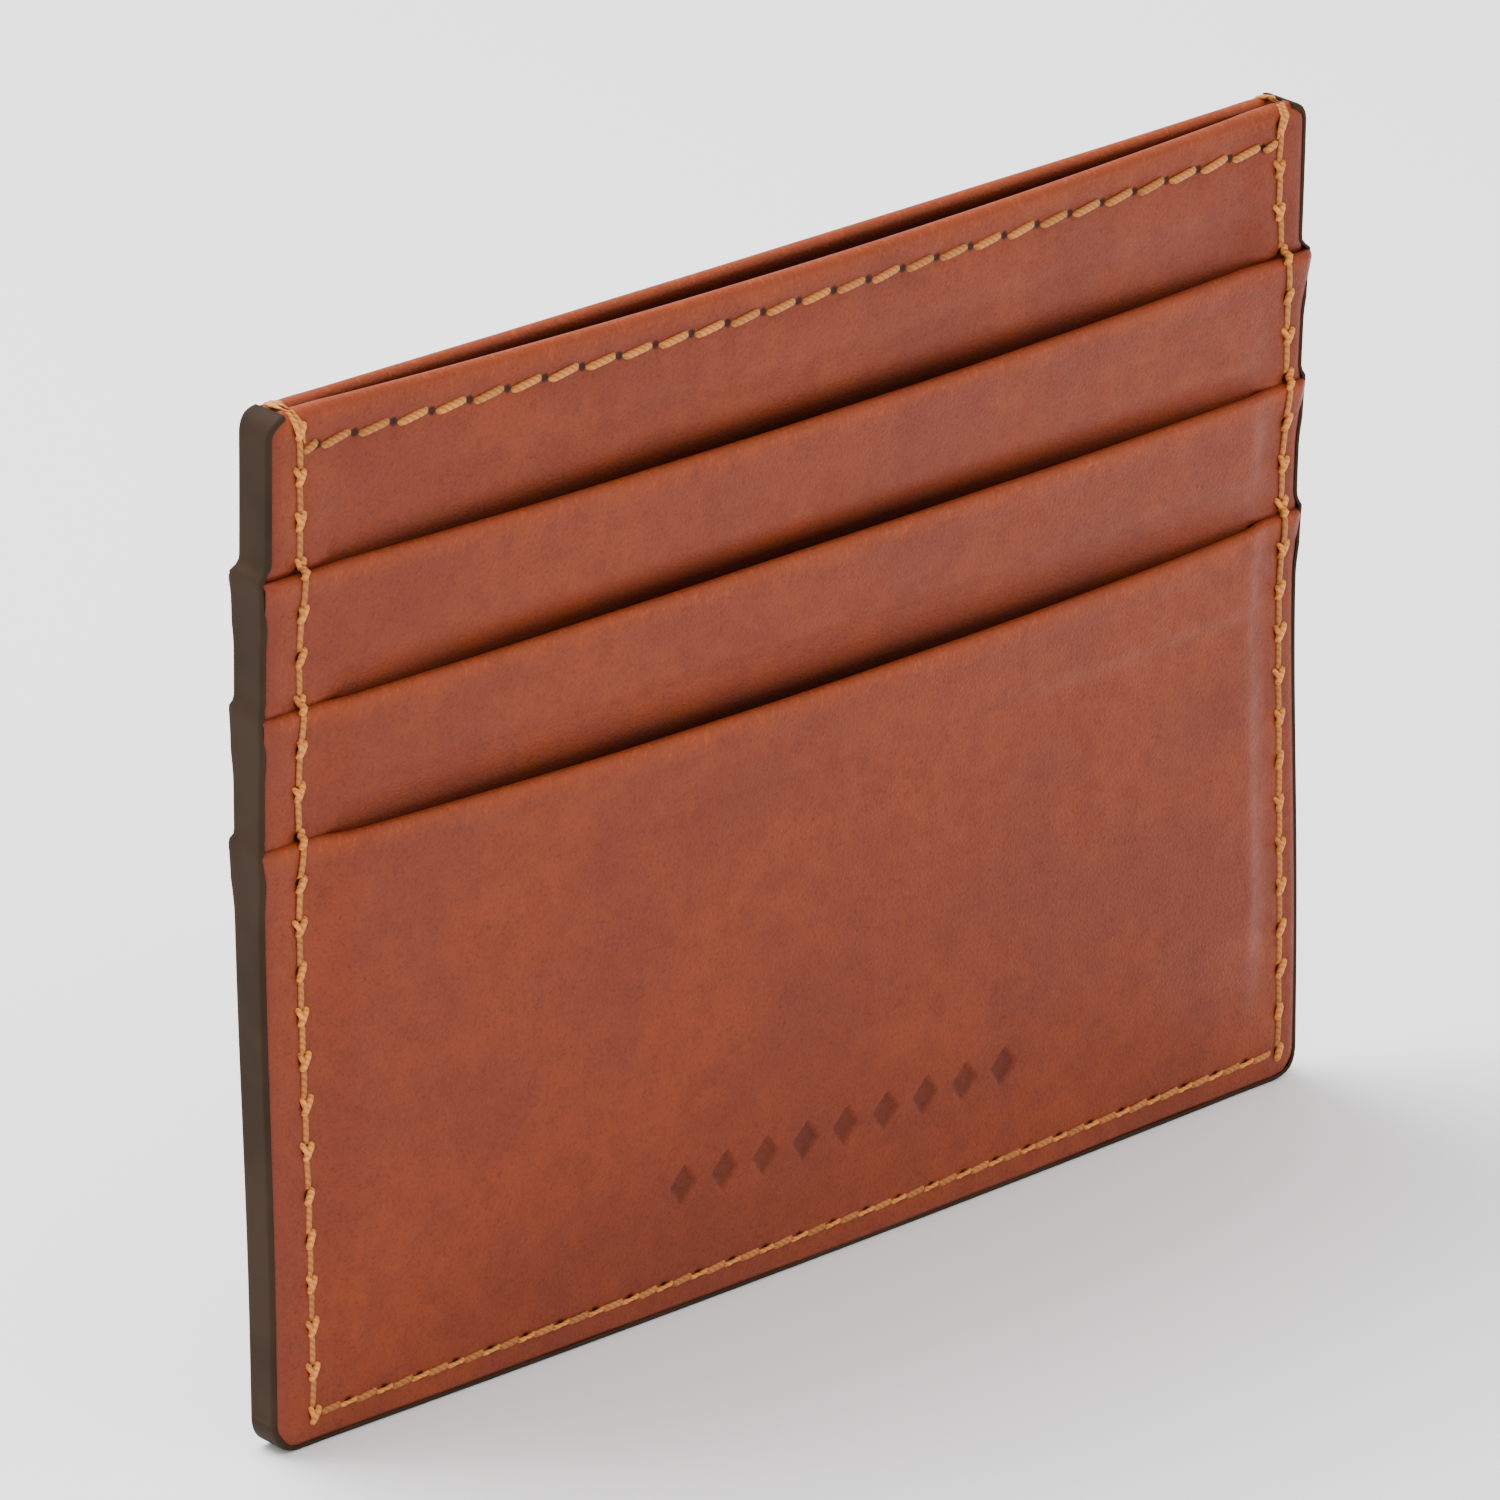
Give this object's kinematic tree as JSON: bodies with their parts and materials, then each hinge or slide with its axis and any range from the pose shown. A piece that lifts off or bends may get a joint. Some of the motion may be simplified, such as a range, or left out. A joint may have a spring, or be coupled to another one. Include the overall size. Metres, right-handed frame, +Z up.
{
  "type": "card holder",
  "caption": "Slim stitched leather card holder with stepped card pockets on both faces and a pocket open at the top between them.",
  "frame": {"origin": "middle of the bottom edge, on the surface that the holder stands on", "axes": "+X along the width, to the right as seen from the front face; +Y from the front face to the rear one; +Z up, towards the open top of the centre pocket"},
  "size_m": [0.1, 0.0074, 0.0803],
  "materials": {
    "leather": "smooth oiled vegetable-tanned cowhide, orange brown, slightly mottled",
    "lining_cloth": "thin plain-woven dark brown lining cloth",
    "thread": "waxed tan polyester sewing thread",
    "hidden_thread": "fine brown polyester sewing thread",
    "edge_paint": "matt dark brown acrylic edge paint"
  },
  "bodies": {
    "root": {"front_panel": "leather", "front_pocket_1": "leather", "front_pocket_2": "leather", "front_pocket_3": "leather", "front_panel_lining": "lining_cloth", "front_pocket_1_tail": "lining_cloth", "front_pocket_2_tail": "lining_cloth", "front_pocket_1_thread": "hidden_thread", "front_pocket_2_thread": "hidden_thread", "front_top_thread": "thread", "front_perimeter_thread": "thread", "rear_panel": "leather", "rear_pocket_1": "leather", "rear_pocket_2": "leather", "rear_pocket_3": "leather", "rear_panel_lining": "lining_cloth", "rear_pocket_1_tail": "lining_cloth", "rear_pocket_2_tail": "lining_cloth", "rear_pocket_1_thread": "hidden_thread", "rear_pocket_2_thread": "hidden_thread", "rear_top_thread": "thread", "rear_perimeter_thread": "thread", "corner_tack_left": "thread", "corner_tack_right": "thread", "edge_paint_bottom": "edge_paint", "edge_paint_left": "edge_paint", "edge_paint_right": "edge_paint"}
  },
  "joints": []
}
